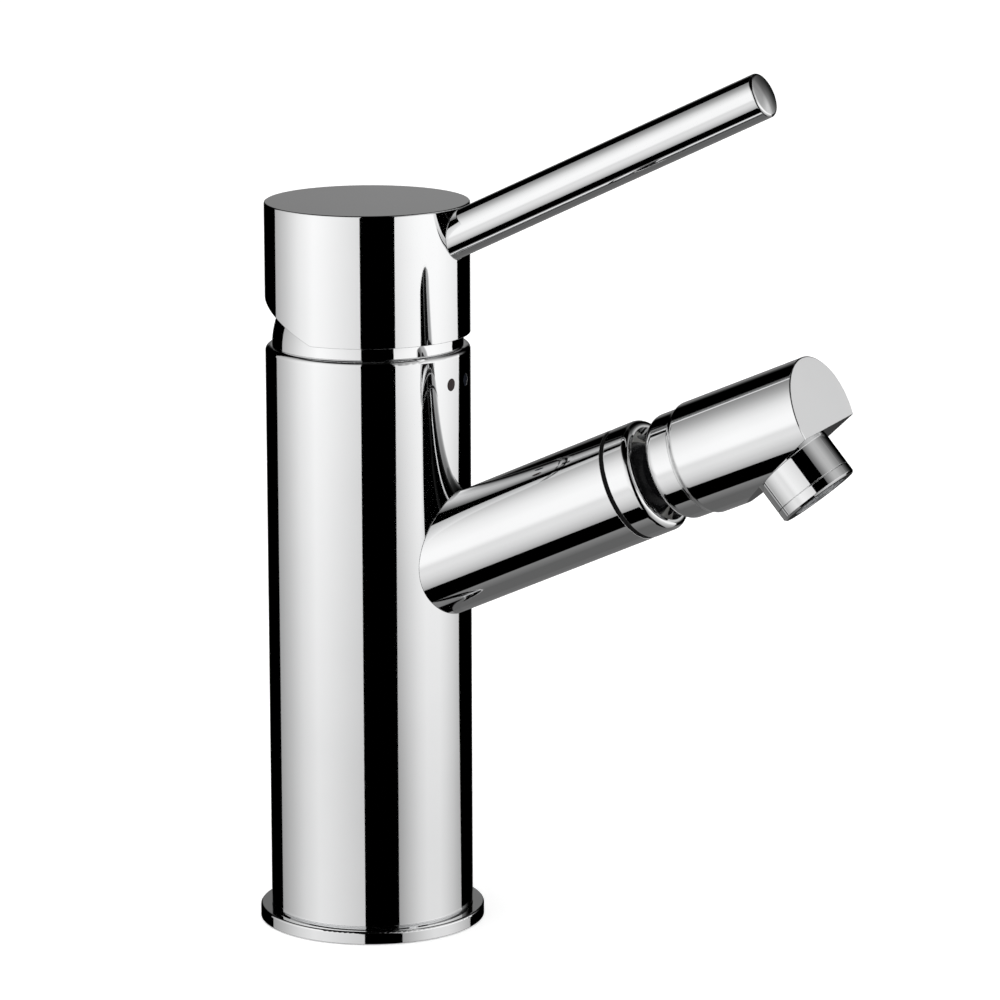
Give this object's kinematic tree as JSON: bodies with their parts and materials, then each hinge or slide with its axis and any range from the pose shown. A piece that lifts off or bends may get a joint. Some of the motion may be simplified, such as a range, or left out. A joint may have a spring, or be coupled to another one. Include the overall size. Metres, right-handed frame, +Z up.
{
  "type": "bidet mixer",
  "caption": "Deck-mounted single-lever bidet mixer: round column, rising spout with a swivel-ball aerator head, rod lever on a bevelled cap, ceramic cartridge inside, polished chrome.",
  "frame": {"origin": "centre of the deck face, on the column's axis at the underside of the base ring", "axes": "+Z up along the column's axis, +X the way the spout and the lever point, +Y completes the right-handed frame"},
  "size_m": [0.1401, 0.05, 0.1942],
  "materials": {
    "chrome": "polished",
    "brass": "satin",
    "steel": "satin",
    "rubber": "matte",
    "ceramic": "satin",
    "grey_plastic": "satin",
    "white_plastic": "satin",
    "black_plastic": "gloss",
    "hot_dot": "gloss",
    "cold_dot": "gloss"
  },
  "bodies": {
    "body": {"body_column": "chrome", "spout_tube": "chrome", "base_ring": "chrome", "base_seal": "rubber", "hot_index": "hot_dot", "cold_index": "cold_dot", "cartridge_base": "grey_plastic", "port_seals": "rubber", "fixed_disc": "ceramic", "cartridge_housing": "grey_plastic", "clamp_nut": "brass", "dome_seal": "rubber", "dome_cover": "chrome", "spout_collar": "chrome", "collar_washer": "rubber", "ball_seal": "rubber"},
    "turret": {"turret": "white_plastic", "spindle_pin": "steel"},
    "disc": {"disc_carrier": "white_plastic", "moving_disc": "ceramic"},
    "lever": {"spindle": "brass", "lever_cap": "chrome", "lever_rod": "chrome", "lever_stud": "steel", "grub_screw": "steel", "screw_plug": "chrome"},
    "seat": {"ball_seat": "white_plastic"},
    "ball": {"ball_stem": "black_plastic", "stem_nut": "brass"},
    "head": {"swivel_sleeve": "chrome", "stem_seal": "rubber", "nozzle_body": "chrome", "aerator_housing": "chrome", "aerator_insert": "grey_plastic", "aerator_seal": "rubber"}
  },
  "joints": [
    {"name": "lever_turn", "type": "hinge", "parent": "body", "child": "turret", "pos_m": [0, 0, 0.1293], "axis": [0, 0, 1], "range_deg": [-45, 45]},
    {"name": "lever_tilt", "type": "hinge", "parent": "turret", "child": "lever", "pos_m": [0, 0, 0.1293], "axis": [0, -1, 0], "range_deg": [0, 25]},
    {"name": "disc_slide", "type": "slide", "parent": "turret", "child": "disc", "axis": [1, 0, 0], "range_m": [0, 0.0053]},
    {"name": "seat_turn", "type": "hinge", "parent": "body", "child": "seat", "pos_m": [0.06501, 0, 0.10446], "axis": [0.9092, 0, 0.4163], "continuous": true},
    {"name": "head_tilt", "type": "hinge", "parent": "seat", "child": "ball", "pos_m": [0.06501, 0, 0.10446], "axis": [0.3981, 0.2924, -0.8695], "range_deg": [-14.8, 9.2]},
    {"name": "head_spin", "type": "hinge", "parent": "ball", "child": "head", "pos_m": [0.06501, 0, 0.10446], "axis": [0.9141, -0.0467, 0.4028], "continuous": true}
  ],
  "couplings": [
    {"joint": "disc_slide", "follows": "lever_tilt", "m_per_rad": 0.012}
  ]
}
